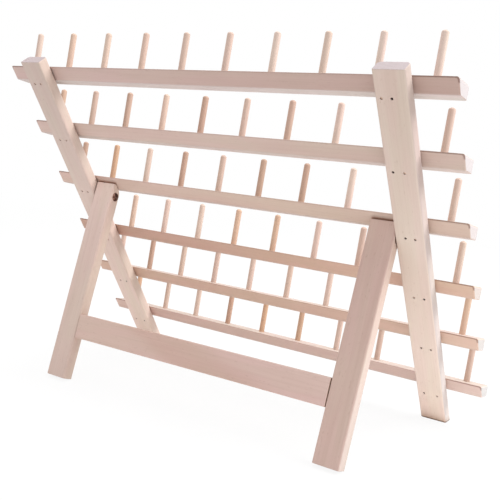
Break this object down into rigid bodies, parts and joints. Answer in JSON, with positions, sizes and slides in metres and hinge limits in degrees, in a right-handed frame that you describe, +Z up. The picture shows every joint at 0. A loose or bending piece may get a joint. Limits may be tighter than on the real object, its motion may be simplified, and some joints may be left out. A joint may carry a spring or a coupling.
{
  "type": "thread rack",
  "caption": "Folding wooden table rack for thread spools: pegged rails on two leaning posts, held up by a hinged frame of legs and a stretcher.",
  "frame": {"origin": "centre of the rack's footprint, on the surface that it stands on", "axes": "+X along the rails to the right seen from behind, +Y to the front where the pegs lean and the lowest rail is, +Z up"},
  "size_m": [0.4, 0.179, 0.3003],
  "materials": {
    "post_wood": "sanded bare wood",
    "rail_wood": "sanded bare wood",
    "leg_wood": "sanded bare wood",
    "stretcher_wood": "sanded bare wood",
    "dowel_wood": "sanded bare wood",
    "nail_steel": "dull",
    "screw_steel": "dark, satin"
  },
  "bodies": {
    "rack": {"post_left": "post_wood", "post_right": "post_wood", "peg_rail_1": "rail_wood", "peg_rail_2": "rail_wood", "peg_rail_3": "rail_wood", "peg_rail_4": "rail_wood", "peg_rail_5": "rail_wood", "peg_rail_6": "rail_wood", "rail_nail_1_left_a": "nail_steel", "rail_nail_1_left_b": "nail_steel", "rail_nail_1_right_a": "nail_steel", "rail_nail_1_right_b": "nail_steel", "rail_nail_2_left_a": "nail_steel", "rail_nail_2_left_b": "nail_steel", "rail_nail_2_right_a": "nail_steel", "rail_nail_2_right_b": "nail_steel", "rail_nail_3_left_a": "nail_steel", "rail_nail_3_left_b": "nail_steel", "rail_nail_3_right_a": "nail_steel", "rail_nail_3_right_b": "nail_steel", "rail_nail_4_left_a": "nail_steel", "rail_nail_4_left_b": "nail_steel", "rail_nail_4_right_a": "nail_steel", "rail_nail_4_right_b": "nail_steel", "rail_nail_5_left_a": "nail_steel", "rail_nail_5_left_b": "nail_steel", "rail_nail_5_right_a": "nail_steel", "rail_nail_5_right_b": "nail_steel", "rail_nail_6_left_a": "nail_steel", "rail_nail_6_left_b": "nail_steel", "rail_nail_6_right_a": "nail_steel", "rail_nail_6_right_b": "nail_steel", "pivot_screw_left": "screw_steel", "pivot_screw_right": "screw_steel"},
    "leg_frame": {"leg_left": "leg_wood", "leg_right": "leg_wood", "stretcher": "stretcher_wood", "stretcher_dowel_left_lower": "dowel_wood", "stretcher_dowel_left_upper": "dowel_wood", "stretcher_dowel_right_lower": "dowel_wood", "stretcher_dowel_right_upper": "dowel_wood"}
  },
  "joints": [
    {"name": "leg_fold", "type": "hinge", "parent": "rack", "child": "leg_frame", "pos_m": [0, -0.01724, 0.16267], "axis": [1, 0, 0], "range_deg": [0, 50]}
  ]
}
